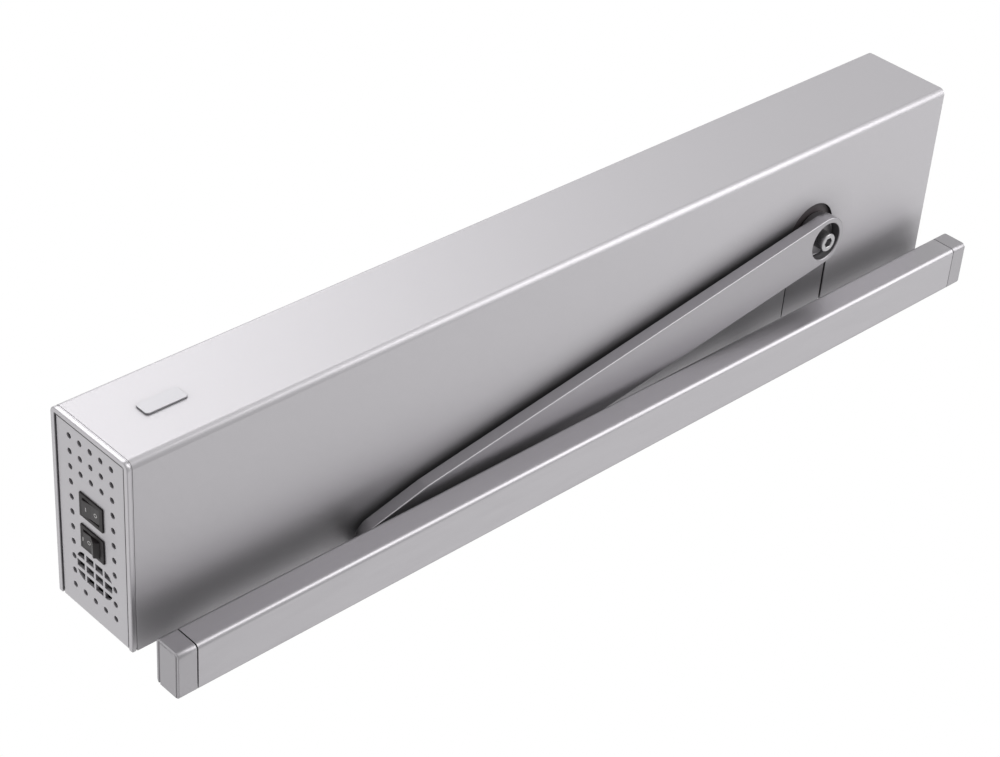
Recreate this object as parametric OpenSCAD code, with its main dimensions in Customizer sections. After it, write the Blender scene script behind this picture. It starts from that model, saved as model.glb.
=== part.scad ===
// Slimline automatic door operator with a slide-channel arm.
// X runs along the case, the wall is the plane Y = 0 with the room on -Y, and Z is up.
// The arm and the slide channel are under the case. All sizes are in millimetres.

/* [Case] */
// Length of the case
case_len = 685; // [680:5:760]
// Height of the case on the wall
case_h = 70; // [66:1:80]
// Depth of the case from the wall
case_depth = 130; // [128:1:150]
// Wall of the cover
cover_t = 2; // [1.5:0.1:2.5]
// Radius of the long front edges
edge_r = 4.5; // [2:0.5:5]
// Sheet of the mounting plate
plate_t = 3; // [2:0.5:4]
// Depth of the mounting plate's folded edges
flange_d = 15; // [12:1:20]
// Width of the end caps' rim
rim_w = 3.5; // [3:0.5:5]
// Length of the end caps' rim
rim_len = 3; // [3:0.5:6]
// Gap between an end cap and the cover
joint_gap = 0.5; // [0.3:0.1:0.8]
// Gap round an end plate inside its rim
groove = 0.9; // [0.5:0.1:1.5]
// Thickness of the end plates
end_plate_t = 2; // [1.5:0.5:3]

/* [Wall fixing] */
// Distance of the fixing holes from the ends of the case
fix_inset = 24.5; // [24:0.5:30]
// Distance between the fixing holes over the height
fix_pitch_z = 44; // [40:1:48]
// Diameter of the fixing holes
fix_d = 6.5; // [5:0.5:7]
// Bore of the cable grommet
grommet_bore = 12; // [8:0.5:14]
// Distance of the cable grommet from the switch end
grommet_from_end = 42; // [40:1:46]

/* [End plate pattern] */
// Diameter of the perforation holes
hole_d = 3.8; // [2.5:0.1:4.2]
// Pitch of the perforation across the height
hole_pitch_z = 9.6; // [9:0.1:10.2]
// Pitch of the perforation along the depth
hole_pitch_y = 10.4; // [10:0.1:11]
// Distance of the lowest perforation row from the wall
hole_row_y = 13.8; // [12:0.1:16]
// Width of a vent window
vent_w = 6.8; // [5:0.1:7.2]
// Height of a vent window
vent_h = 4.7; // [3.5:0.1:5.2]
// Width of the bars of the vent
vent_bar = 1.8; // [1.4:0.1:2]
// Distance of the vent's middle from the wall
vent_y = 32.2; // [31:0.1:33]
// Corner radius of the vent's outline
vent_r = 6.5; // [3:0.5:7]

/* [Switches] */
// Length of a switch bezel, across the case
bezel_len = 21.5; // [19:0.5:22.5]
// Width of a switch bezel, along the depth
bezel_w = 16; // [15:0.5:16.5]
// Height of a switch bezel over the end plate
bezel_t = 1; // [0.6:0.1:1.6]
// Distance of the power switch from the wall
power_switch_y = 77.4; // [76:0.2:79]
// Distance of the program switch from the wall
program_switch_y = 55.3; // [54:0.2:56]
// Depth of a switch body behind the end plate
switch_body_len = 20; // [16:1:24]
// Radius of the rockers about their pivot
rocker_r = 7.6; // [7:0.1:8]
// Width of the rockers
rocker_w = 10.5; // [9:0.5:11.5]
// Tilt of the power rocker in its end positions
power_tilt = 7; // [5:1:9]
// Tilt of the program rocker in its end positions
program_tilt = 10; // [8:1:12]

/* [Spindle and gears] */
// Distance of the spindle from the far end
spindle_from_end = 125; // [124:1:135]
// Distance of the spindle from the wall
spindle_y = 61; // [60:0.5:64]
// Diameter of the spindle at its bearings
spindle_d = 15; // [12:0.5:16]
// Size across flats of the spindle's middle, inside the gear and the cam
seat_af = 17; // [16:0.5:18]
// Size across flats of the spindle's end, inside the arm's hub
drive_af = 13; // [11:0.5:13]
// Teeth of the spindle gear
spindle_teeth = 44; // [40:1:44]
// Teeth of the small intermediate gear
pinion_teeth = 11; // [11:1:12]
// Module of the spindle gear's teeth
slow_module = 2; // [2:0.1:2]
// Teeth of the large intermediate gear
wheel_teeth = 54; // [50:1:54]
// Teeth of the motor pinion
motor_teeth = 12; // [12:1:13]
// Module of the motor pinion's teeth
fast_module = 1.25; // [1.25:0.05:1.25]
// Width of the spindle gear
spindle_gear_w = 12; // [8:1:13]
// Width of the large intermediate gear
wheel_w = 6; // [4:1:7]
// Distance from the spindle to the motor shaft
motor_reach = 84; // [82:0.5:86]
// Diameter of the motor
motor_d = 54; // [44:1:54]
// Wall of the gearbox
gearbox_wall = 4; // [3:0.5:5]
// Floor of the gearbox
gearbox_floor = 5; // [4:0.5:6]

/* [Closing spring] */
// Distance from the spindle to the cam roller with the door closed
roller_reach = 23; // [22.5:0.5:26]
// Lift of the cam over the whole swing of the arm
cam_lift = 14; // [8:1:16]
// Radius of the cam roller
roller_r = 10; // [8:0.5:10.5]
// Thickness of the cam
cam_w = 10; // [8:0.5:12]
// Outer diameter of the spring tube
tube_d = 44; // [40:1:48]
// Length of the spring tube
tube_len = 150; // [130:5:155]
// Wire diameter of the closing spring
wire_d = 5; // [3:0.5:6]
// Turns of the closing spring
spring_turns = 9; // [7:1:10]

/* [Arm] */
// Distance from the spindle to the slide pin
arm_len = 396; // [380:2:400]
// Thickness of the arm
arm_t = 9; // [7:0.5:10]
// Gap between the case and the arm
arm_gap = 3.5; // [3:0.5:6]
// Radius of the arm's hub end
hub_r = 17.5; // [16.5:0.5:18.5]
// Half width of the arm where its end starts to taper
taper_half_w = 16; // [14:0.5:16]
// Distance from the slide pin to the start of the taper
taper_len = 40; // [30:2:50]
// Radius of the arm's slide end
tip_r = 12; // [10:0.5:13]
// Diameter of the recess for the arm screw
recess_d = 27; // [24:0.5:28]
// Depth of the recess for the arm screw
recess_depth = 7.5; // [6:0.5:8]
// Swing of the arm
arm_swing = 150; // [120:5:150]
// Diameter of the spindle opening in the cover
opening_d = 44; // [43:0.5:46]
// Width of the cut-out between the spindle and the wall
cutout_w = 41; // [38:0.5:43]

/* [Slide channel] */
// Length of the slide channel with its end caps
track_len = 688; // [600:4:700]
// Height of the slide channel
track_h = 20; // [18:0.5:24]
// Depth of the slide channel from the door leaf
track_d = 33; // [30:0.5:36]
// Setback of the door leaf behind the wall plane
leaf_setback = 13; // [10:0.5:15]
// Shift of the channel's middle along the case
track_shift = 6.5; // [0:0.5:12]
// Gap between the arm and the channel
track_gap = 3; // [2:0.5:6]
// Length of the channel's end caps
track_cap_len = 13.5; // [12.5:0.5:18]
// Width of the slot
slot_w = 12; // [10:0.5:14]
// Width of the slide block's way inside the channel
way_w = 25; // [22:0.5:26]
// Thickness of the lips beside the slot
lip_t = 3; // [2:0.5:4]
// Floor of the channel
track_floor = 3.5; // [3:0.5:4]
// Length of the slide block
block_len = 36; // [28:2:40]
// Diameter of the slide pin
pin_d = 8; // [6:0.5:9]
// Travel of the channel over the block as the door opens
track_travel = 300; // [240:10:300]

/* [Badge] */
// Length of the blank badge
badge_len = 28; // [20:1:40]
// Height of the blank badge
badge_h = 11; // [8:0.5:16]
// Distance of the badge's middle from the switch end
badge_from_end = 48.5; // [40:0.5:80]

/* [Hidden] */
$fn = 64;

// Clearances
eps = 0.01;
cut = 1;
run = 0.05;
seat = 0.02;
flat_gap = 0.3;
part_gap = 0.5;

// Case
half_len = case_len / 2;
half_h = case_h / 2;
cover_x0 = -half_len + rim_len + joint_gap;
inner_half_h = half_h - cover_t;
collar_t = 1.8;
collar_len = 4;
collar_inset = cover_t + flat_gap / 2;
plate_half_h = inner_half_h - flat_gap;
end_plate_face = 0.8;
ledge_w = 4;
ledge_t = 2;
plate_half_len = half_len - end_plate_face - end_plate_t - ledge_t - flat_gap;
flange_half_len = half_len - rim_len - collar_len - part_gap;
foot_len = 12;
foot_half_h = 11;
foot_screw_z = 6;
foot_screw_d = 4;
fix_x = half_len - fix_inset;
grommet_x = -half_len + grommet_from_end;
grommet_z = 0;
grommet_wall = 2.5;
grommet_lip = 1.5;

// Switch end
vent_cols = 4;
vent_rows = 3;
vent_total_w = vent_cols * vent_w + (vent_cols - 1) * vent_bar;
vent_row_bar = 2.6;
vent_total_h = vent_rows * vent_h + (vent_rows - 1) * vent_row_bar;
hole_cols = 5;
hole_rows = 11;
full_rows_top = 3;
bezel_wall = 2;
switch_body_l = bezel_len - 2.4;
switch_body_w = bezel_w - 2.4;
rocker_gap = 0.35;
pivot_depth = 2.4;
plate_outer_x = -half_len + end_plate_face;
plate_inner_x = plate_outer_x + end_plate_t;
bezel_x = plate_outer_x - bezel_t;
pivot_x = bezel_x + pivot_depth;

// Vertical stack of the drive
spindle_x = half_len - spindle_from_end;
floor_z = -inner_half_h + part_gap;
gear_z0 = floor_z + gearbox_floor + 4;
gear_z1 = gear_z0 + spindle_gear_w;
cam_z = floor_z + 32.5;
wheel_z0 = cam_z + 10;
wheel_z1 = wheel_z0 + wheel_w;
lid_z = wheel_z1 + 3;
lid_t = 4.5;
bearing_w = 7;
bearing_d = spindle_d + 13;
bearing_boss = 3.5;
upper_bearing_z = lid_z;
spindle_top = upper_bearing_z + bearing_w;
motor_z0 = floor_z + gearbox_floor;
motor_z1 = wheel_z0 - 3;

// Gears
pressure_angle = 25;
addendum = 0.8;
dedendum = 1.15;
backlash = 0.16;
slow_centre = (spindle_teeth + pinion_teeth) * slow_module / 2;
fast_centre = (wheel_teeth + motor_teeth) * fast_module / 2;
reach_angle = acos((slow_centre ^ 2 + motor_reach ^ 2 - fast_centre ^ 2)
    / (2 * slow_centre * motor_reach));
spindle_pos = [spindle_x, -spindle_y];
pinion_pos = spindle_pos + slow_centre * [cos(reach_angle), -sin(reach_angle)];
motor_pos = spindle_pos + [motor_reach, 0];
slow_angle = -reach_angle;
fast_angle = atan2(motor_pos[1] - pinion_pos[1], motor_pos[0] - pinion_pos[0]);
spindle_gear_r = (spindle_teeth / 2 + addendum) * slow_module;
wheel_r = (wheel_teeth / 2 + addendum) * fast_module;
pinion_tip_r = (pinion_teeth / 2 + addendum) * slow_module;
intermediate_d = 8;
motor_shaft_d = 6;
motor_shaft_hole = motor_shaft_d + 2;

// Gearbox outline, from the reach of the gears
gear_air = 1.2;
gearbox_front = max(-pinion_pos[1] + wheel_r, spindle_y + spindle_gear_r)
    + gear_air + gearbox_wall;
gearbox_back = spindle_y - spindle_gear_r - gear_air - gearbox_wall;
gearbox_right = motor_pos[0] + motor_d / 2 + gear_air + gearbox_wall;
gearbox_left = spindle_x - 68;
gearbox_step_x = spindle_x + spindle_gear_r + gear_air + gearbox_wall;
gearbox_step_y = spindle_y - motor_d / 2 - gear_air - gearbox_wall;
gearbox_leg_d = 12;
gearbox_screw_d = 4;
gearbox_screw_inset = 6;
gearbox_corner_r = 9;

// Cam and spring
cam_k = cam_lift / arm_swing;
cam_clear = 0.15;
cam_lead = 12;
cam_steps = 36;
cam_hub_r = seat_af / 2 + 2.3;
roller_w = cam_w - 0.4;
roller_pin_d = 6;
fork_t = 3;
fork_r = 6;
fork_gap = 0.3;
rod_d = 12;
roller_x = spindle_x - roller_reach;
tube_right = gearbox_left - flat_gap / 10;
tube_left = tube_right - tube_len;
tube_wall = 3;
tube_flange_t = 4;
tube_flange_half = tube_d / 2 + 5;
bush_d = rod_d + 6;
head_t = 6;
head_r = tube_d / 2 - tube_wall - 0.5;
head_x = tube_right - 22;
plug_t = 12;
adjust_d = 10;
seat_t = 5;
seat_x = tube_left + plug_t + 16;
spring_r = head_r - wire_d / 2 - 1;
spring_x0 = seat_x + seat_t;
spring_x1 = head_x - head_t;

// Arm
arm_top = -half_h - arm_gap;
arm_bottom = arm_top - arm_t;
boss_top = -half_h + 1.5;
boss_r = hub_r - 1.5;
recess_floor = arm_bottom + recess_depth;
washer_t = 1.5;
washer_d = recess_d - 3;
screw_d = 8;
screw_head_d = 13;
screw_head_h = 8;
screw_len = 20;
hex_key = 6;
slot_y = track_d / 2 - leaf_setback;
pin_pos = spindle_pos + [-sqrt(arm_len ^ 2 - (spindle_y - slot_y) ^ 2), spindle_y - slot_y];
arm_angle = atan2(pin_pos[1] - spindle_pos[1], pin_pos[0] - spindle_pos[0]);
pin_head_d = 14;
pin_head_t = 1.8;

// Slide channel
track_top = arm_bottom - track_gap;
track_bottom = track_top - track_h;
track_x0 = track_shift - track_len / 2;
track_x1 = track_shift + track_len / 2;
track_edge_r = 3.2;
way_top = track_top - lip_t;
way_bottom = track_bottom + track_floor;
profile_x0 = track_x0 + track_cap_len;
profile_x1 = track_x1 - track_cap_len;
cap_wall = 1.8;
cap_end_t = 2;
cap_joint = 0.6;
tongue_len = 20;
leaf_hole_d = 5.5;
leaf_hole_inset = (cap_end_t + track_cap_len) / 2;
leaf_head_d = 9;
clamp_d = 5;
clamp_x = [profile_x0 + tongue_len / 2, profile_x1 - tongue_len / 2];
stop_len = 24;
stop_x = pin_pos[0] + block_len / 2 + track_travel;

// Left-hand electrics, measured from the switch end
terminal_x0 = -half_len + 58;
terminal_len = 34;
supply_x0 = -half_len + 98;
electrics_len = tube_left - supply_x0;
supply_len = 0.45 * electrics_len;
supply_depth = 96;
supply_half_h = 28;
carrier_x0 = supply_x0 + supply_len + 8;
carrier_len = tube_left - 14 - carrier_x0;
board_y = 92;
board_t = 1.6;
board_half_h = 28;
standoff = 6;
chassis_screw_d = 4;
foot_screw_x = plate_half_len - foot_len / 2;
flange_clear_y = plate_t + flat_gap;
gearbox_leg_x = [gearbox_left + 12, gearbox_step_x - 14];
gearbox_leg_z = [floor_z + 12, lid_z - 9];

// Places of the screws that hold the chassis parts, set from the wall side: [x, z]
chassis_screw_points = concat(
    [for (x = [supply_x0 + 12, supply_x0 + supply_len - 12], z = [-18, 18]) [x, z]],
    [for (x = [carrier_x0 + 6, carrier_x0 + carrier_len - 6], z = [-18, 18]) [x, z]],
    [for (x = gearbox_leg_x, z = gearbox_leg_z) [x, z]]
);

// An outline in Y and Z, drawn as [y, z], made into a bar along X
module bar_x(x0, x1) {
    translate([x0, 0, 0]) rotate([90, 0, 90]) linear_extrude(x1 - x0) children();
}

// An outline in X and Y made into a bar along Z
module bar_z(z0, z1) {
    translate([0, 0, z0]) linear_extrude(z1 - z0) children();
}

// A round bar along X
module rod_x(x0, x1, r, y, z) {
    translate([x0, y, z]) rotate([0, 90, 0]) cylinder(r = r, h = x1 - x0);
}

// A round bar along Y
module rod_y(y0, y1, r, x, z) {
    translate([x, y0, z]) rotate([-90, 0, 0]) cylinder(r = r, h = y1 - y0);
}

// A round bar along Z
module rod_z(z0, z1, r, pos) {
    translate([pos[0], pos[1], z0]) cylinder(r = r, h = z1 - z0);
}

// A hexagonal bar along Z, given across its flats
module hex_z(z0, z1, af, pos) {
    translate([pos[0], pos[1], z0]) cylinder(r = af / 2 / cos(30), h = z1 - z0, $fn = 6);
}

// Rectangle with round corners about its middle
module round_rect(l, w, r) {
    square([l - 2 * r, w], center = true);
    square([l, w - 2 * r], center = true);
    for (sx = [-1, 1], sy = [-1, 1])
        translate([sx * (l / 2 - r), sy * (w / 2 - r)]) circle(r);
}

// The case's section in Y and Z, drawn in by inset, square at the wall and round in front
module case_outline(inset, back = 0) {
    r = max(edge_r - inset, 0.4);
    d = case_depth - inset;
    h = case_h - 2 * inset;
    translate([-d + r, -h / 2]) square([d - r + back, h]);
    translate([-d, -h / 2 + r]) square([d + back, h - 2 * r]);
    for (s = [-1, 1]) translate([-d + r, s * (h / 2 - r)]) circle(r);
}

// A U-shaped band of the case's section, open at the wall
module case_band(inset, thickness, free_end = 0) {
    difference() {
        case_outline(inset);
        case_outline(inset + thickness, cut);
        if (free_end > 0)
            translate([-free_end, -case_h]) square([free_end + cut, 2 * case_h]);
    }
}

// Cover

opening_pos = [spindle_x - 2.5, -spindle_y - 1.5];

// The plan of the cut-out: a round opening at the spindle and a straight way to the wall
module cutout_plan(y_end) {
    translate(opening_pos) circle(opening_d / 2);
    translate([spindle_x - cutout_w / 2, -spindle_y]) square([cutout_w, spindle_y + y_end]);
}

module cover() {
    color("#c9c9cc") difference() {
        bar_x(cover_x0, half_len) case_band(0, cover_t);
        bar_z(-half_h - cut, -inner_half_h + cut) cutout_plan(cut);
    }
}

insert_gap = 1.4;
insert_t = 1.4;
insert_recess = 0.4;
insert_horn = 8;

module cover_insert() {
    w = cutout_w - 2 * insert_gap;
    z0 = -half_h + insert_recess;
    color("#a2a2a6") bar_z(z0, z0 + insert_t) difference() {
        translate([spindle_x - w / 2, -spindle_y + insert_horn])
            square([w, spindle_y - insert_horn]);
        translate(opening_pos) circle(opening_d / 2);
    }
}

module badge_plate() {
    r = 2;
    t = 1.2;
    color("#dcdce0") translate([-half_len + badge_from_end, -case_depth, 0])
        rotate([90, 0, 0]) linear_extrude(t) round_rect(badge_len, badge_h, r);
}

// Mounting plate

module mounting_plate() {
    z = plate_half_h;
    notch_y = gearbox_back - part_gap;
    color("#9aa0a3") difference() {
        union() {
            bar_x(-plate_half_len, plate_half_len)
                translate([-plate_t, -z + plate_t]) square([plate_t, 2 * (z - plate_t)]);
            bar_x(-flange_half_len, flange_half_len) {
                translate([-plate_t, -z]) square([plate_t, 2 * z]);
                for (s = [-1, 1])
                    translate([-flange_d, s * (z - plate_t / 2) - plate_t / 2])
                        square([flange_d, plate_t]);
            }
        }
        translate([gearbox_left - 1, -flange_d - cut, -z - cut])
            cube([gearbox_step_x - gearbox_left + 2, flange_d - notch_y + cut, plate_t + cut]);
        for (sx = [-1, 1], sz = [-1, 1])
            rod_y(-plate_t - cut, cut, fix_d / 2, sx * fix_x, sz * fix_pitch_z / 2);
        rod_y(-plate_t - cut, cut, grommet_bore / 2 + grommet_wall + seat,
            grommet_x, grommet_z);
        for (p = chassis_screw_points)
            rod_y(-plate_t - cut, cut, chassis_screw_d / 2 + seat, p[0], p[1]);
        for (p = chassis_screw_points) csk_head(p, seat);
        for (sx = [-1, 1], sz = [-1, 1])
            rod_y(-plate_t - cut, cut, foot_screw_d / 2 + seat,
                sx * foot_screw_x, sz * foot_screw_z);
    }
}

// A countersunk head, flush with the wall side of the mounting plate
module csk_head(p, grow) {
    r = chassis_screw_d / 2;
    head = 1.7;
    translate([p[0], 0, p[1]]) rotate([90, 0, 0])
        cylinder(r1 = r + head + grow, r2 = r + grow, h = head);
}

module chassis_screws() {
    grip = 8;
    color("#b8bcc0") for (p = chassis_screw_points) {
        csk_head(p, 0);
        rod_y(-plate_t - grip, 0, chassis_screw_d / 2, p[0], p[1]);
    }
}

// Hole for a chassis screw's thread in the part that it holds
module chassis_screw_hole(p) {
    rod_y(-plate_t - 9, -plate_t + cut, chassis_screw_d / 2 + seat, p[0], p[1]);
}

module cable_grommet() {
    r = grommet_bore / 2;
    color("#242426") difference() {
        union() {
            rod_y(-plate_t - grommet_lip, -eps, r + grommet_wall, grommet_x, grommet_z);
            rod_y(-plate_t - 2 * grommet_lip, -plate_t - seat, r + 2 * grommet_wall,
                grommet_x, grommet_z);
        }
        rod_y(-plate_t - 3 * grommet_lip, cut, r, grommet_x, grommet_z);
    }
}

clip_len = 22;
clip_t = 1.2;
clip_reach = 12;
clip_nose = 2;
clip_lip = 2.5;

// Spring clips that hold the cover on the folded edges
module cover_clips() {
    color("#d0d2d4") for (x = [-half_len + 60, 60], s = [-1, 1]) {
        z = plate_half_h - plate_t - clip_t / 2 - seat;
        translate([x, -flange_d + clip_reach / 2 - clip_nose, s * z])
            cube([clip_len, clip_reach, clip_t], center = true);
        translate([x, -flange_d - clip_nose + clip_t / 2, s * (z + clip_lip / 2)])
            cube([clip_len, clip_t, clip_lip + clip_t], center = true);
    }
}

// End caps

// The ledge behind an end plate, and the collar that slips into the cover
module end_frame() {
    ledge_x = -half_len + end_plate_face + end_plate_t;
    bar_x(ledge_x, ledge_x + ledge_t)
        case_band(rim_w - eps, ledge_w, flange_clear_y);
    bar_x(-half_len + rim_len - eps, -half_len + rim_len + collar_len)
        case_band(collar_inset, rim_w - collar_inset + 1, flange_clear_y);
}

// A rim in line with the cover
module switch_end_cap() {
    color("#cfcfd3") {
        bar_x(-half_len, -half_len + rim_len) case_band(0, rim_w);
        end_frame();
    }
}

// The far frame lies wholly inside the cover
module plain_end_cap() {
    color("#cfcfd3") mirror([1, 0, 0]) {
        bar_x(plate_outer_x, -half_len + rim_len)
            case_band(collar_inset, rim_w - collar_inset, flange_clear_y);
        end_frame();
    }
}

// The plate inside a rim, with the foot that is screwed to the mounting plate
module end_plate_blank() {
    foot_y = -plate_t - end_plate_t;
    bar_x(plate_outer_x, plate_inner_x) case_outline(rim_w + groove);
    translate([plate_inner_x - eps, foot_y, -foot_half_h])
        cube([ledge_t + flat_gap + foot_len, end_plate_t, 2 * foot_half_h]);
}

module foot_screw_holes() {
    for (s = [-1, 1])
        rod_y(-plate_t - end_plate_t - cut, cut, foot_screw_d / 2 + seat,
            -foot_screw_x, s * foot_screw_z);
}

module vent_windows() {
    intersection() {
        translate([-vent_y, 0]) round_rect(vent_total_h, vent_total_w, vent_r);
        for (i = [0:vent_rows - 1], j = [0:vent_cols - 1])
            translate([
                -vent_y + (i - (vent_rows - 1) / 2) * (vent_h + vent_row_bar),
                (j - (vent_cols - 1) / 2) * (vent_w + vent_bar)
            ]) square([vent_h, vent_w], center = true);
    }
}

// True where the pattern of round holes has a hole: row 0 is the one next to the wall
function has_hole(row, col) =
    col == 0 || col == hole_cols - 1 || row == 0 || row >= hole_rows - full_rows_top;

module switch_end_plate() {
    color("#b9b9bd") difference() {
        end_plate_blank();
        bar_x(plate_outer_x - cut, plate_inner_x + cut) {
            vent_windows();
            for (y = [power_switch_y, program_switch_y])
                translate([-y, 0])
                    square([switch_body_w + flat_gap, switch_body_l + flat_gap], center = true);
        }
        for (row = [0:hole_rows - 1], col = [0:hole_cols - 1])
            if (has_hole(row, col))
                rod_x(plate_outer_x - cut, plate_inner_x + cut, hole_d / 2,
                    -hole_row_y - row * hole_pitch_y, (col - (hole_cols - 1) / 2) * hole_pitch_z);
        foot_screw_holes();
    }
}

module plain_end_plate() {
    color("#b9b9bd") mirror([1, 0, 0]) difference() {
        end_plate_blank();
        foot_screw_holes();
    }
}

module end_cap_screws() {
    head_t = 2.4;
    y1 = -plate_t - end_plate_t - seat;
    color("#b8bcc0") for (sx = [-1, 1], sz = [-1, 1]) {
        rod_y(y1 - head_t, y1, foot_screw_d, sx * foot_screw_x, sz * foot_screw_z);
        rod_y(y1 - eps, -eps, foot_screw_d / 2, sx * foot_screw_x, sz * foot_screw_z);
    }
}

// Switches

module switch_housing(y) {
    color("#262629") difference() {
        union() {
            bar_x(bezel_x, plate_outer_x) translate([-y, 0]) round_rect(bezel_w, bezel_len, 0.3);
            bar_x(plate_outer_x - eps, plate_outer_x + switch_body_len)
                translate([-y, 0]) square([switch_body_w, switch_body_l], center = true);
        }
        intersection() {
            translate([pivot_x, -y, 0]) rotate([90, 0, 0])
                cylinder(r = rocker_r + rocker_gap, h = rocker_w + 2 * rocker_gap, center = true);
            translate([bezel_x - cut, -y - rocker_w, -bezel_len])
                cube([pivot_depth + rocker_r + cut, 2 * rocker_w, 2 * bezel_len]);
        }
    }
}

module power_switch_housing() { switch_housing(power_switch_y); }
module program_switch_housing() { switch_housing(program_switch_y); }

// A rocker: a round segment about its pivot, with two faces that meet in a valley.
// A positive tilt presses its upper end.
module rocker(y, tilt, face_angle, rise) {
    color("#1d1d20") translate([pivot_x, -y, 0]) rotate([0, tilt, 0]) difference() {
        rotate([90, 0, 0]) cylinder(r = rocker_r, h = rocker_w, center = true);
        for (s = [-1, 1])
            translate([-pivot_depth - rise, 0, 0]) rotate([0, -s * face_angle, 0])
                translate([-rocker_r, 0, s * rocker_r])
                    cube([2 * rocker_r, rocker_w + cut, 2 * rocker_r], center = true);
    }
}

module power_rocker() {
    rocker(power_switch_y, -power_tilt, 3, -0.1);
}

module program_rocker() {
    rocker(program_switch_y, program_tilt, 15, 0.5);
}

carrier_plate_t = 1.5;
carrier_plate_x = plate_inner_x + ledge_t + flat_gap;

// The dark inner plate behind the holes, which carries the switches
module switch_carrier() {
    inset = rim_w + 1 + part_gap;
    wall_side = plate_t + end_plate_t + part_gap;
    color("#2a2a2d") bar_x(carrier_plate_x, carrier_plate_x + carrier_plate_t) difference() {
        case_outline(inset);
        translate([-wall_side, -half_h]) square([2 * wall_side, case_h]);
        for (y = [power_switch_y, program_switch_y])
            translate([-y, 0])
                square([switch_body_w + flat_gap, switch_body_l + flat_gap], center = true);
    }
}

module switch_terminals() {
    blade = [7, 0.8, 4.8];
    x0 = plate_outer_x + switch_body_len + seat;
    color("#c9a96a") for (y = [power_switch_y, program_switch_y], z = [-5.5, 0, 5.5])
        translate([x0, -y - blade[1] / 2, z - blade[2] / 2]) cube(blade);
}

// Electrics

module mains_terminal_block() {
    poles = 3;
    pole = terminal_len / poles;
    block_h = 20;
    block_d = 22;
    z0 = -block_h - 5;
    y0 = -plate_t - seat;
    color("#e6e3da") difference() {
        translate([terminal_x0, y0 - block_d, z0]) cube([terminal_len, block_d, block_h]);
        for (i = [0:poles - 1]) {
            x = terminal_x0 + (i + 0.5) * pole;
            rod_y(y0 - block_d - cut, y0 - block_d + 12, 2.6, x, z0 + block_h / 2);
            translate([x, y0 - 8, z0 - cut]) cylinder(r = 2.4, h = 9);
            if (i > 0)
                translate([x - pole / 2 - 0.6, y0 - block_d - cut, z0 - cut])
                    cube([1.2, 6 + cut, block_h + 2 * cut]);
        }
    }
}

module power_supply() {
    wall = 2;
    post_r = 5;
    y0 = -plate_t - supply_depth;
    color("#a7abae") difference() {
        union() {
            difference() {
                translate([supply_x0, y0, -supply_half_h])
                    cube([supply_len, supply_depth - seat, 2 * supply_half_h]);
                translate([supply_x0 + wall, y0 + wall, -supply_half_h + wall])
                    cube([supply_len - 2 * wall, supply_depth, 2 * (supply_half_h - wall)]);
            }
            for (i = [0:3])
                rod_y(-plate_t - 14, -plate_t - seat, post_r,
                    chassis_screw_points[i][0], chassis_screw_points[i][1]);
            for (i = [0:3])
                translate([
                    chassis_screw_points[i][0] - 1.5,
                    -plate_t - 14,
                    i % 2 == 0 ? -supply_half_h + eps : chassis_screw_points[i][1]
                ]) cube([3, 14 - seat, supply_half_h - abs(chassis_screw_points[i][1])]);
        }
        for (x = [supply_x0 + 14:9:supply_x0 + supply_len - 12], z = [-16:8:16])
            rod_y(y0 - cut, y0 + wall + cut, 2.4, x, z);
        for (i = [0:3]) chassis_screw_hole(chassis_screw_points[i]);
    }
}

module board_carrier() {
    wall = 3;
    depth = board_y - plate_t - standoff;
    color("#3a3d40") difference() {
        translate([carrier_x0, -plate_t - depth, -board_half_h])
            cube([carrier_len, depth - seat, 2 * board_half_h]);
        translate([carrier_x0 + 12, -plate_t - depth - cut, -board_half_h + wall])
            cube([carrier_len - 24, depth + 2 * cut, 2 * (board_half_h - wall)]);
        for (i = [4:7]) chassis_screw_hole(chassis_screw_points[i]);
    }
    color("#3a3d40") for (x = board_post_x, z = [-1, 1] * (board_half_h - 6))
        rod_y(-plate_t - depth - standoff + seat, -plate_t - depth + eps, 3.5, x, z);
}
board_post_x = [carrier_x0 + 6, carrier_x0 + carrier_len - 6];

module control_board() {
    color("#2f6b45") translate([carrier_x0, -board_y - board_t, -board_half_h])
        cube([carrier_len, board_t, 2 * board_half_h]);
}

board_face = -board_y - board_t - seat;

module board_capacitors() {
    color("#2b3346") for (x = [0.16, 0.35], z = [-12, 12])
        rod_y(board_face - 24, board_face, 0.07 * carrier_len, carrier_x0 + x * carrier_len, z);
}

module board_connectors() {
    color("#3f7f57") for (i = [0:3])
        translate([carrier_x0 + carrier_len - 12, board_face - 11, -25 + i * 13])
            difference() {
                cube([9, 11, 11]);
                for (z = [3, 8]) translate([-cut, 4, z]) rotate([0, 90, 0])
                    cylinder(r = 1.6, h = 6);
            }
}

module board_relays() {
    color("#3b3b40") for (z = [-22, -4, 14])
        translate([carrier_x0 + 0.55 * carrier_len, board_face - 15, z])
            cube([0.25 * carrier_len, 15, 10]);
}

// Gears

function inv(a) = tan(a) * 180 / PI - a;

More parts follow.
